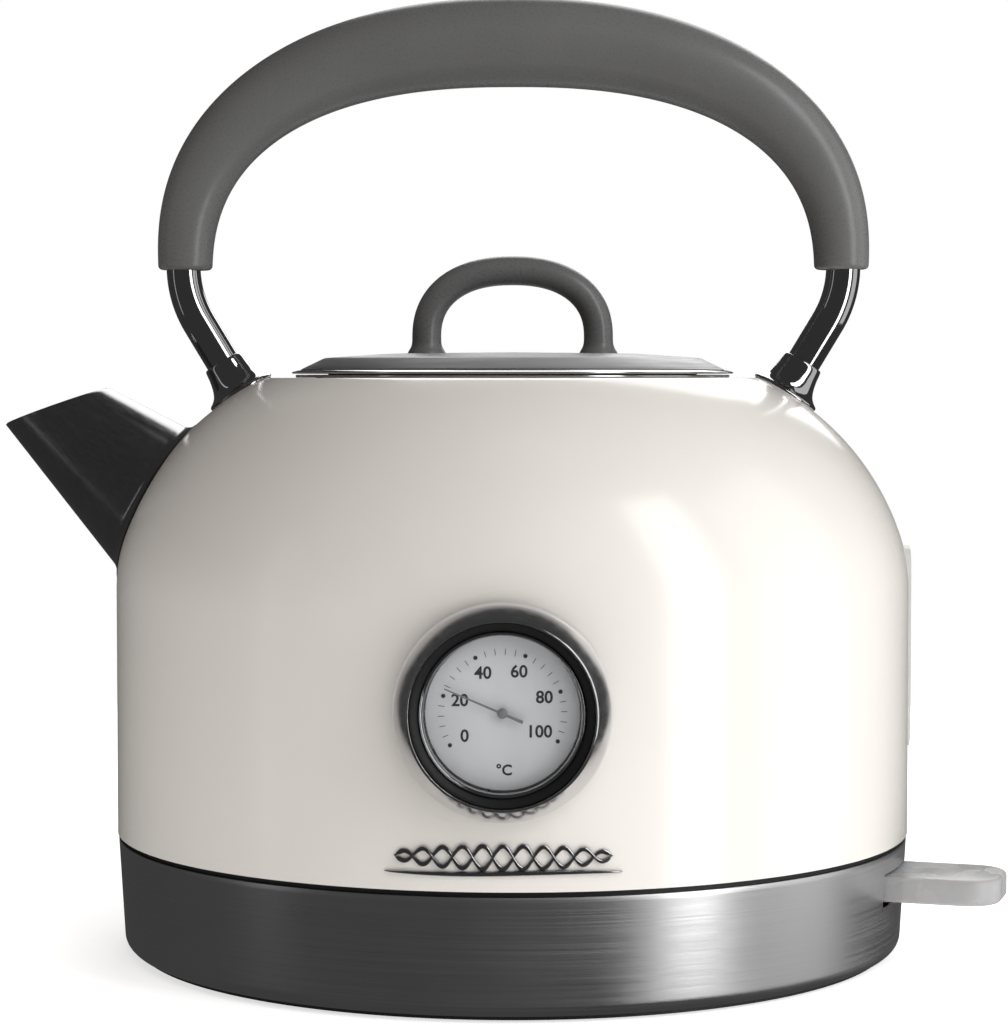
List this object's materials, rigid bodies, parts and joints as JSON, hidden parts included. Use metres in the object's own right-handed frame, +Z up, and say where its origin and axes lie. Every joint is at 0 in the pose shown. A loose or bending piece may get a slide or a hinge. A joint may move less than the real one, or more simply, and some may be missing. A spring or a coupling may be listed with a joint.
{
  "type": "electric kettle",
  "caption": "Dome-shaped cordless electric kettle with a fixed overhead bail handle, lift-off lid, conical spout, dial thermometer and a rocker switch in its base.",
  "frame": {"origin": "centre of the ring that the kettle rests on, on the vessel's axis", "axes": "+Z up; the spout points along -X, the thermometer faces -Y"},
  "size_m": [0.2382, 0.199, 0.227],
  "materials": {
    "enamel": "gloss",
    "polished_steel": "polished",
    "inner_steel": "satin",
    "aluminium": "satin",
    "plated_steel": "satin",
    "copper_alloy": "satin",
    "brushed_steel": "brushed",
    "black_plastic": "matte",
    "clear_plastic": "clear",
    "black_rubber": "matte",
    "lever_plastic": "translucent",
    "spout_steel": "polished",
    "filter_plastic": "matte",
    "chrome_trim": "mirror",
    "lens_glass": "clear",
    "dial_silver": "satin",
    "needle_grey": "satin",
    "grip_grey": "satin",
    "lid_grey": "satin",
    "plug_plastic": "matte"
  },
  "bodies": {
    "kettle": {"body_shell": "enamel", "neck_ring": "polished_steel", "heating_plate": "inner_steel", "heat_spreader": "aluminium", "heating_element": "inner_steel", "element_terminals": "plated_steel", "earth_strap": "copper_alloy", "base_band": "brushed_steel", "base_chassis": "black_plastic", "bottom_cover": "black_plastic", "cover_screws": "plated_steel", "control_housing": "black_plastic", "connector_pin": "copper_alloy", "connector_rings": "copper_alloy", "dry_boil_discs": "plated_steel", "steam_disc": "plated_steel", "steam_tube": "inner_steel", "lever_pivot": "plated_steel", "lever_bracket": "black_plastic", "trip_spring": "plated_steel", "indicator_lamp": "clear_plastic", "lamp_leads": "black_rubber", "spout": "spout_steel", "spout_gasket": "black_rubber", "filter_guides": "inner_steel", "thermometer_bezel": "chrome_trim", "lens_seal": "black_rubber", "bezel_inner_ring": "chrome_trim", "dial_lens": "lens_glass", "dial_face": "dial_silver", "gauge_can": "plated_steel", "dial_pillar": "plated_steel", "gauge_probe": "inner_steel", "bimetal_helix": "copper_alloy", "gauge_seal": "black_rubber", "gauge_nut": "plated_steel", "handle_tube": "chrome_trim", "handle_grip": "grip_grey", "handle_feet": "chrome_trim", "foot_gaskets": "black_rubber", "handle_screws": "plated_steel", "handle_washers": "plated_steel", "water_window": "clear_plastic", "window_gasket": "black_rubber", "window_frame": "black_plastic", "trim_ornament": "chrome_trim"},
    "lid": {"lid_cover": "lid_grey", "lid_trim_ring": "polished_steel", "lid_plug": "plug_plastic", "lid_seal": "black_rubber", "lid_knob": "grip_grey", "lid_screws": "plated_steel"},
    "lever": {"switch_lever": "lever_plastic"},
    "needle_body": {"needle": "needle_grey", "needle_staff": "plated_steel"},
    "filter": {"filter_frame": "filter_plastic", "filter_mesh": "inner_steel"}
  },
  "joints": [
    {"name": "lid_lift", "type": "slide", "parent": "kettle", "child": "lid", "axis": [0, 0, 1], "range_m": [0, 0.036]},
    {"name": "lever_rock", "type": "hinge", "parent": "kettle", "child": "lever", "pos_m": [0.0839, -0.02485, 0.019], "axis": [0.284, 0.9588, 0], "range_deg": [0, 10]},
    {"name": "needle_turn", "type": "hinge", "parent": "kettle", "child": "needle_body", "pos_m": [0, -0.0989, 0.0664], "axis": [0, -1, 0], "range_deg": [-184, 54.5], "stiffness_Nm_per_rad": 0.00003},
    {"name": "filter_slide", "type": "slide", "parent": "kettle", "child": "filter", "axis": [0.6368, 0, 0.7711], "range_m": [0, 0.012]}
  ]
}
